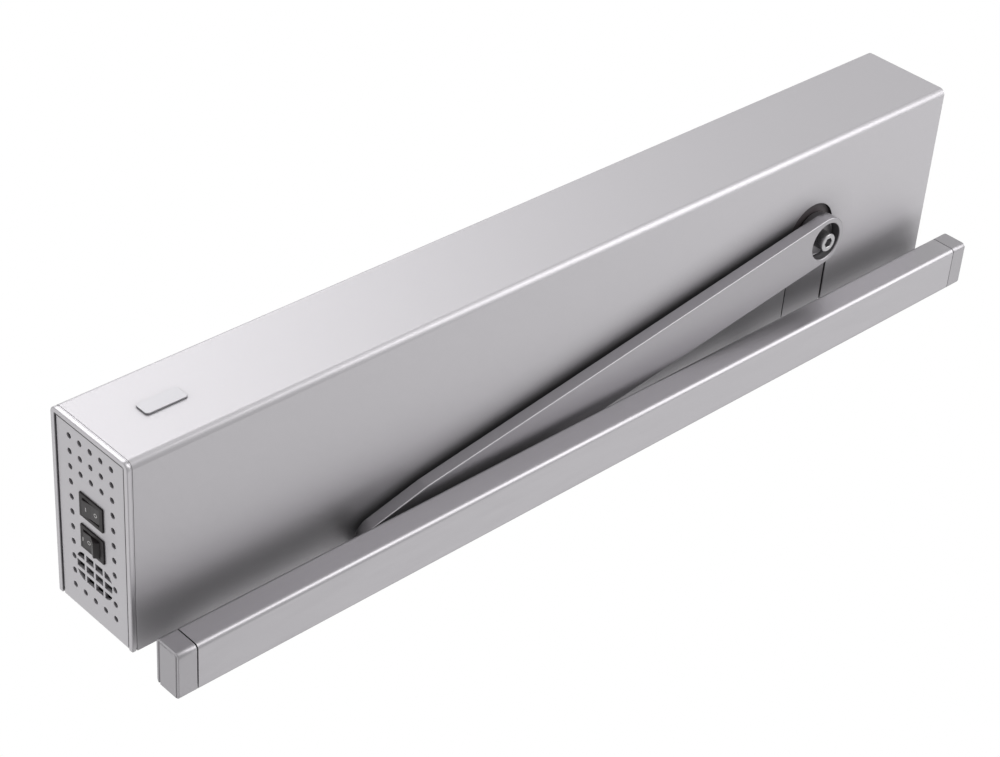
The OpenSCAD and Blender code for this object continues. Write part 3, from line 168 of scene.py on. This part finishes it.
# Materials: name, sRGB colour, metallic, roughness, and what isn't as new_material has it
MATERIALS = {
    # Painted shade darkens the cover's underside next to the arm and the channel
    "silver": ("silver_anodised", (174, 172, 175), 0.88, 0.5,
               dict(grain=0.015, grain_scale=700, bump=0.03, nook=0.8, nook_reach=0.026)),
    # Painted shade darkens the rim next to the cover and the end plate
    "rim": ("rim_silver", (170, 168, 171), 0.85, 0.36,
            dict(grain=0.015, nook=0.6, nook_reach=0.03)),
    # Painted shade draws a dark line on the end plate along the rim's edge
    "lacquer": ("silver_lacquer", (196, 194, 197), 0.45, 0.45,
                dict(grain=0.03, grain_scale=1500, bump=0.05, nook=0.9, nook_reach=0.002)),
    # Faint painted shade on the arm where the case is close
    "arm": ("arm_lacquer", (143, 141, 144), 0.85, 0.36,
            dict(grain=0.02, grain_scale=1500, bump=0.04, nook=0.12, nook_reach=0.03)),
    "track": ("track_anodised", (158, 156, 159), 0.88, 0.38,
              dict(grain=0.02, grain_scale=500, brush=(0.05, 1, 1))),
    "cap": ("cap_silver", (150, 148, 151), 0.82, 0.40, dict(grain=0.02)),
    # A darker silver than the cover, and painted shade near other parts, both standing for the
    # shadow of the arm and the channel
    "insert": ("insert_silver", (152, 150, 153), 0.8, 0.42,
               dict(grain=0.02, nook=0.5, nook_reach=0.03)),
    "badge": ("badge_brushed", (166, 165, 168), 0.85, 0.48,
              dict(grain=0.03, grain_scale=500, brush=(0.05, 1, 1))),
    # Grey for the painted shadow strip in the gap round the end plate
    "gap_shadow": ("seal_grey", (104, 102, 105), 0.0, 0.6, dict()),
    "black": ("black_plastic", (34, 29, 31), 0.0, 0.55,
              dict(grain=0.06, grain_scale=2500, bump=0.1, specular=0.3)),
    "rocker": ("rocker_plastic", (40, 35, 37), 0.0, 0.42, dict(grain=0.03, specular=0.35)),
    "rubber": ("rubber", (30, 28, 30), 0.0, 0.75, dict(grain=0.05, bump=0.1, specular=0.3)),
    "zinc": ("zinc_plated", (168, 171, 174), 0.9, 0.38,
             dict(grain=0.05, grain_scale=220, bump=0.03)),
    "screw": ("screw_steel", (190, 192, 194), 0.95, 0.3, dict(grain=0.03)),
    "dark_steel": ("dark_steel", (86, 84, 86), 0.8, 0.35, dict(grain=0.04)),
    "head": ("screw_head", (150, 149, 151), 0.85, 0.3, dict(grain=0.03)),
    "gear": ("gear_steel", (160, 164, 168), 0.9, 0.35, dict(grain=0.04)),
    "polished": ("polished_steel", (205, 207, 209), 1.0, 0.2, dict(grain=0.01)),
    "cast": ("cast_aluminium", (160, 163, 166), 0.7, 0.55, dict(grain=0.06, bump=0.3)),
    # Dark coat on the gearbox, dark enough to stand as painted shade in the deep opening round the
    # hub
    "dark_cast": ("dark_cast", (66, 60, 62), 0.1, 0.6, dict(grain=0.06, bump=0.2)),
    "spring": ("spring_steel", (120, 122, 125), 0.9, 0.35, dict(grain=0.04)),
    "tube": ("tube_steel", (140, 143, 146), 0.85, 0.4, dict(grain=0.04, brush=(0.1, 1, 1))),
    "motor": ("motor_black", (62, 64, 67), 0.6, 0.45, dict(grain=0.04)),
    "brass": ("brass", (205, 180, 120), 0.95, 0.3, dict(grain=0.03)),
    "bronze": ("bronze", (180, 140, 90), 0.9, 0.4, dict(grain=0.06)),
    "board": ("circuit_board", (36, 96, 62), 0.0, 0.35, dict(grain=0.08, grain_scale=300)),
    "cream": ("cream_plastic", (228, 222, 206), 0.0, 0.5, dict(grain=0.02)),
    "grey": ("dark_plastic", (62, 64, 67), 0.0, 0.5, dict(grain=0.04)),
    "green": ("green_plastic", (66, 132, 92), 0.0, 0.45, dict(grain=0.03)),
    "blue": ("capacitor_sleeve", (44, 52, 78), 0.0, 0.3, dict(grain=0.03)),
    "acetal": ("white_acetal", (232, 230, 224), 0.0, 0.4, dict(grain=0.02)),
    "print": ("white_print", (240, 238, 236), 0.0, 0.6, dict(grain=0.02)),
}

GRAIN_DETAIL = 3
# The part of the noise that the grain is spread over
GRAIN_RANGE = (0.3, 0.7)
ROUGHNESS_SPREAD = 0.04
ROUGHNESS_MIN = 0.02
BUMP_DISTANCE = 0.0002
# Samples for the painted shade near other surfaces
PAINTED_SHADE_SAMPLES = 12


def srgb(values):
    """Linear colour from 0-255 sRGB values."""
    out = []
    for value in values:
        v = value / 255
        out.append(v / 12.92 if v <= 0.04045 else ((v + 0.055) / 1.055) ** 2.4)
    return tuple(out)


def new_material(name, colour, metallic, roughness, grain=0.0, grain_scale=900.0, bump=0.0,
                 brush=None, nook=0.0, nook_reach=0.02, specular=0.5):
    """A Principled material whose colour and roughness carry a fine procedural grain.

    brush scales the grain along each axis. The shade setting paints shade: ambient occlusion
    darkens the colour where other surfaces are close by, standing in for contact shadows.
    """
    mat = bpy.data.materials.new(name)
    mat.use_nodes = True
    tree = mat.node_tree
    nodes, links = tree.nodes, tree.links
    shader = nodes["Principled BSDF"]
    shader.inputs["Metallic"].default_value = metallic
    shader.inputs["Specular IOR Level"].default_value = specular

    coords = nodes.new("ShaderNodeTexCoord")
    mapping = nodes.new("ShaderNodeMapping")
    if brush:
        mapping.inputs["Scale"].default_value = brush
    noise = nodes.new("ShaderNodeTexNoise")
    noise.inputs["Scale"].default_value = grain_scale
    noise.inputs["Detail"].default_value = GRAIN_DETAIL
    links.new(coords.outputs["Object"], mapping.inputs["Vector"])
    links.new(mapping.outputs["Vector"], noise.inputs["Vector"])

    tint = map_range(tree, noise.outputs["Fac"], (1 - grain, 1 + grain), GRAIN_RANGE)
    # Painted shade: ambient occlusion darkens the colour near other surfaces, standing in for
    # contact shadows in gaps and corners
    if nook:
        near = nodes.new("ShaderNodeAmbientOcclusion")
        near.samples = PAINTED_SHADE_SAMPLES
        near.inputs["Distance"].default_value = nook_reach
        tint = math_node(tree, "MULTIPLY", map_range(tree, near.outputs["AO"], (1 - nook, 1)),
                         tint)
    shade = nodes.new("ShaderNodeMix")
    shade.data_type = "RGBA"
    shade.blend_type = "MULTIPLY"
    shade.inputs["Factor"].default_value = 1.0
    shade.inputs["A"].default_value = (*srgb(colour), 1)
    links.new(tint, shade.inputs["B"])
    links.new(shade.outputs["Result"], shader.inputs["Base Color"])

    rough = (max(roughness - ROUGHNESS_SPREAD, ROUGHNESS_MIN),
             min(roughness + ROUGHNESS_SPREAD, 1))
    links.new(map_range(tree, noise.outputs["Fac"], rough, GRAIN_RANGE),
              shader.inputs["Roughness"])
    if bump:
        relief = nodes.new("ShaderNodeBump")
        relief.inputs["Strength"].default_value = bump
        relief.inputs["Distance"].default_value = BUMP_DISTANCE
        links.new(noise.outputs["Fac"], relief.inputs["Height"])
        links.new(relief.outputs["Normal"], shader.inputs["Normal"])
    return mat


def make_materials():
    return {key: new_material(*basics, **more) for key, (*basics, more) in MATERIALS.items()}


LOOKS = {
    "cover": "silver", "switch_end_cap": "rim", "plain_end_cap": "rim",
    "switch_end_plate": "lacquer", "plain_end_plate": "lacquer", "cover_insert": "insert",
    "badge_plate": "badge", "mounting_plate": "zinc", "end_cap_screws": "screw",
    "cover_clips": "spring", "power_switch_housing": "black",
    "program_switch_housing": "black", "switch_carrier": "rubber",
    "switch_terminals": "brass", "power_rocker": "rocker", "program_rocker": "rocker",
    "mains_terminal_block": "cream", "cable_grommet": "rubber", "power_supply": "zinc",
    "board_carrier": "grey", "control_board": "board", "board_capacitors": "blue",
    "board_connectors": "green", "board_relays": "grey", "chassis_screws": "screw",
    "gearbox_housing": "dark_cast", "gearbox_lid": "dark_cast", "gearbox_screws": "screw",
    "spindle_bearing_lower": "polished", "spindle_bearing_upper": "polished",
    "intermediate_pin": "polished", "motor_body": "motor", "motor_pinion": "gear",
    "intermediate_gear": "gear", "spindle_gear": "gear", "lifting_cam": "gear",
    "spindle_spacer": "gear", "spindle": "dark_steel", "spring_tube": "tube",
    "spring_guide_bush": "bronze", "spring_end_plug": "tube", "spring_seat": "tube",
    "spring_adjusting_screw": "screw", "closing_spring": "spring", "spring_piston": "gear",
    "roller_pin": "polished", "cam_roller": "polished", "arm": "arm", "arm_screw": "head",
    "arm_washer": "dark_steel", "slide_pin": "polished", "slide_block": "acetal",
    "track_profile": "track", "track_end_cap_near": "cap", "track_end_cap_far": "cap",
    "track_fixing_blocks": "cast", "track_clamp_screws": "dark_steel", "track_stop": "rubber",
}

# Width of the broken edges, in millimetres
EDGES = {
    "cover": 0.2, "switch_end_cap": 0.7, "plain_end_cap": 0.5, "switch_end_plate": 0.25,
    "plain_end_plate": 0.25, "arm": 0.8, "track_end_cap_near": 0.5,
    "track_end_cap_far": 0.5, "power_switch_housing": 0.3, "program_switch_housing": 0.3,
    "power_rocker": 0.35, "program_rocker": 0.35, "badge_plate": 0.25, "arm_screw": 0.6,
    "arm_washer": 0.3, "slide_block": 0.5, "gearbox_lid": 0.4, "gearbox_housing": 0.4,
    "mounting_plate": 0.3, "cover_insert": 0.2,
}
EDGE_SEGMENTS = 3
# Edges flatter than this belong to round faces
EDGE_ANGLE = 62
EDGE_WELD = 0.002


def dress_nodes(frame, mats):
    for name, obj in frame["nodes"].items():
        obj.data.materials.clear()
        obj.data.materials.append(mats[LOOKS[name]])
        if name in EDGES:
            weld = obj.modifiers.new("weld", "WELD")
            weld.merge_threshold = EDGE_WELD * MM
            bevel = obj.modifiers.new("edges", "BEVEL")
            bevel.width = EDGES[name] * MM
            bevel.segments = EDGE_SEGMENTS
            bevel.limit_method = "ANGLE"
            bevel.angle_limit = math.radians(EDGE_ANGLE)
            bevel.harden_normals = True
            # Short edges inside flat faces would hold it back, or throw points off
            bevel.use_clamp_overlap = False
            bevel.loop_slide = False


# Rockers, in millimetres and degrees: both turn about an axis along Y at PIVOT_X. Each has its
# place, its tilt at rest, how far its two faces lean, and how far it stands out.
PIVOT_X = -340.3
FACE_OUT = 2.4
ROCKERS = {
    "power_rocker": {"y": -77.4, "tilt": -7, "lean": 3, "rise": -0.1},
    "program_rocker": {"y": -55.3, "tilt": 10, "lean": 15, "rise": 0.5},
}

# Printed marks, in millimetres: rocker, form, and place along the rocker from its middle
MARKS = {
    "power_mark_on": ("power_rocker", "bar", 4.1),
    "power_mark_off": ("power_rocker", "ring", -3.7),
    "program_mark_on": ("program_rocker", "bar", 6.3),
    "program_mark_off": ("program_rocker", "ring", 1.3),
}
BAR_WIDTH = 0.7
BAR_LENGTH = 2.6
RING_RADIUS = 1.35
RING_STROKE = 0.5
RING_STEPS = 32
PRINT_THICKNESS = 0.1
PRINT_SUNK = 0.05
PRINT_MERGE = 0.001


def bar_faces():
    """One quad in Y and Z."""
    half_y, half_z = BAR_LENGTH / 2, BAR_WIDTH / 2
    return [[(-half_y, -half_z), (half_y, -half_z), (half_y, half_z), (-half_y, half_z)]]


def ring_faces():
    """A ring of quads in Y and Z."""
    inner = RING_RADIUS - RING_STROKE
    turns = [2 * math.pi * i / RING_STEPS for i in range(RING_STEPS + 1)]
    spots = [(math.cos(turn), math.sin(turn)) for turn in turns]
    return [[(RING_RADIUS * ya, RING_RADIUS * za), (RING_RADIUS * yb, RING_RADIUS * zb),
             (inner * yb, inner * zb), (inner * ya, inner * za)]
            for (ya, za), (yb, zb) in zip(spots, spots[1:])]


def make_marks(mats):
    forms = {"bar": bar_faces(), "ring": ring_faces()}
    for name, (rocker, form, along) in MARKS.items():
        mesh = bpy.data.meshes.new(name)
        bm = bmesh.new()
        for face in forms[form]:
            bm.faces.new([bm.verts.new((PRINT_SUNK * MM, y * MM, (z + along) * MM))
                          for y, z in face])
        bmesh.ops.remove_doubles(bm, verts=bm.verts[:], dist=PRINT_MERGE * MM)
        grown = bmesh.ops.extrude_face_region(bm, geom=bm.faces[:])["geom"]
        bmesh.ops.translate(bm, vec=(-PRINT_THICKNESS * MM, 0, 0),
                            verts=[g for g in grown if isinstance(g, bmesh.types.BMVert)])
        bmesh.ops.recalc_face_normals(bm, faces=bm.faces[:])
        bm.to_mesh(mesh)
        bm.free()
        obj = mesh_object(name, mesh, mats["print"])
        seat = ROCKERS[rocker]
        lean = -seat["lean"] if along > 0 else seat["lean"]
        obj.matrix_world = (Matrix.Translation((PIVOT_X * MM, seat["y"] * MM, 0))
                            @ Matrix.Rotation(math.radians(seat["tilt"]), 4, "Y")
                            @ Matrix.Translation((-(FACE_OUT + seat["rise"]) * MM, 0, 0))
                            @ Matrix.Rotation(math.radians(lean), 4, "Y"))
        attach(obj, rocker)


# Strips round the switch end, in millimetres: range in X, insets from the case's outside, look
STRIPS = {
    "rim_joint": ((-339.9, -338.95), (0.3, 1.2), "rim"),
    # A grey strip laid in the gap between rim and plate: a painted shadow line there
    "end_gap_shadow": ((-342.35, -341.0), (3.52, 3.92), "gap_shadow"),
}
STRIP_WALL_END = -2.0
CASE_HALF_HEIGHT = 35.0
CASE_DEPTH = 130.0
CASE_EDGE_R = 4.5
CORNER_STEPS = 10


def case_path(inset):
    """The case's section in Y and Z, drawn in by inset, from the wall round the front and back."""
    radius = CASE_EDGE_R - inset
    top = CASE_HALF_HEIGHT - inset
    middle_y = inset + radius - CASE_DEPTH
    path = [(STRIP_WALL_END, top)]
    for side in (1, -1):
        for step in range(CORNER_STEPS + 1):
            share = step / CORNER_STEPS if side > 0 else 1 - step / CORNER_STEPS
            turn = math.pi / 2 * (1 + share)
            path.append((middle_y + radius * math.cos(turn),
                         side * (top - radius + radius * math.sin(turn))))
    path.append((STRIP_WALL_END, -top))
    return path


def make_strips(mats):
    """U-shaped strips in line with the case's section."""
    for name, ((x_out, x_in), (outer, inner), look) in STRIPS.items():
        corners = ((x_out, outer), (x_in, outer), (x_in, inner), (x_out, inner))
        rings = [[(x * MM, y * MM, z * MM) for y, z in case_path(inset)]
                 for x, inset in corners]
        count = len(rings[0])
        starts = [r * count for r in range(len(rings))]
        faces = []
        for a, b in zip(starts, starts[1:] + starts[:1]):
            faces += [(a + i, a + i + 1, b + i + 1, b + i) for i in range(count - 1)]
        faces.append(tuple(starts))
        faces.append(tuple(start + count - 1 for start in reversed(starts)))
        mesh = bpy.data.meshes.new(name)
        mesh.from_pydata([point for ring in rings for point in ring], [], faces)
        bm = bmesh.new()
        bm.from_mesh(mesh)
        bmesh.ops.recalc_face_normals(bm, faces=bm.faces[:])
        bm.to_mesh(mesh)
        bm.free()
        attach(mesh_object(name, mesh, mats[look]), "case")


# Closing spring between its seat and the piston's head, along X, in millimetres
SPRING_X = (34.99, 118.95)
SPRING_AXIS_Y = -61.0
SPRING_R = 15.0
SPRING_TURNS = 9
WIRE_R = 2.45
WIRE_SIDES = 12
RINGS_PER_TURN = 28


def make_spring(mats):
    """The closing spring as one round wire, squeezed by the piston."""
    count = RINGS_PER_TURN * SPRING_TURNS
    run = (SPRING_X[1] - SPRING_X[0]) / (2 * math.pi * SPRING_TURNS)
    points, faces = [], []
    for i in range(count + 1):
        turn = 2 * math.pi * SPRING_TURNS * i / count
        out = Vector((0, math.cos(turn), math.sin(turn)))
        along = Vector((run, -SPRING_R * math.sin(turn), SPRING_R * math.cos(turn))).normalized()
        side = along.cross(out)
        middle = Vector((SPRING_X[0] + run * turn, SPRING_AXIS_Y, 0)) + SPRING_R * out
        for k in range(WIRE_SIDES):
            angle = 2 * math.pi * k / WIRE_SIDES
            points.append((middle + WIRE_R * (math.cos(angle) * out + math.sin(angle) * side)) * MM)
    for i in range(count):
        for k in range(WIRE_SIDES):
            a, b = i * WIRE_SIDES + k, i * WIRE_SIDES + (k + 1) % WIRE_SIDES
            faces.append((a, b, b + WIRE_SIDES, a + WIRE_SIDES))
    last = count * WIRE_SIDES
    faces.append(tuple(reversed(range(WIRE_SIDES))))
    faces.append(tuple(range(last, last + WIRE_SIDES)))
    mesh = bpy.data.meshes.new("closing_spring_wire")
    mesh.from_pydata(points, [], faces)
    # The quads of the wire are smooth, its two end faces flat
    mesh.polygons.foreach_set("use_smooth", [len(face) == 4 for face in faces])
    spring = mesh_object("closing_spring_wire", mesh, mats["spring"])
    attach(spring, "case")
    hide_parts("closing_spring")
    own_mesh(spring)


def make_floor():
    """A pale floor that keeps the part's shadow and shows nearly as white as the background."""
    mat = bpy.data.materials.new("pale_floor")
    mat.use_nodes = True
    tree = mat.node_tree
    shader = tree.nodes["Principled BSDF"]
    shader.inputs["Base Color"].default_value = (*FLOOR_COLOUR, 1)
    shader.inputs["Roughness"].default_value = FLOOR_ROUGHNESS
    glow = tree.nodes.new("ShaderNodeEmission")
    share = math_node(tree, "MULTIPLY", seen_directly(tree), FLOOR_GLOW)
    both = mix_shaders(tree, share, shader.outputs["BSDF"], glow.outputs["Emission"])
    tree.links.new(both, tree.nodes["Material Output"].inputs["Surface"])
    mesh = bpy.data.meshes.new("floor")
    corners = ((-1, -1), (1, -1), (1, 1), (-1, 1))
    mesh.from_pydata([(FLOOR_HALF * x, FLOOR_HALF * y, FLOOR_Z) for x, y in corners], [],
                     [(0, 1, 2, 3)])
    mesh_object("floor", mesh, mat)


scene = bpy.context.scene
scene.view_settings.view_transform = "Standard"
make_camera()
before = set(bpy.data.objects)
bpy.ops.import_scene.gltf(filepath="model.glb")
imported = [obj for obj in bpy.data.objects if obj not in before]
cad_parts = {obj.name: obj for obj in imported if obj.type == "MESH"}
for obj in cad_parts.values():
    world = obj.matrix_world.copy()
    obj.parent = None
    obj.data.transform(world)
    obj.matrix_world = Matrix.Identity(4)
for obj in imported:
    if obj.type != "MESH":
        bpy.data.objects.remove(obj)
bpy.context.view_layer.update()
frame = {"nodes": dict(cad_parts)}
make_world()
make_lamps()
materials = make_materials()
dress_nodes(frame, materials)
make_marks(materials)
make_spring(materials)
make_strips(materials)
make_floor()
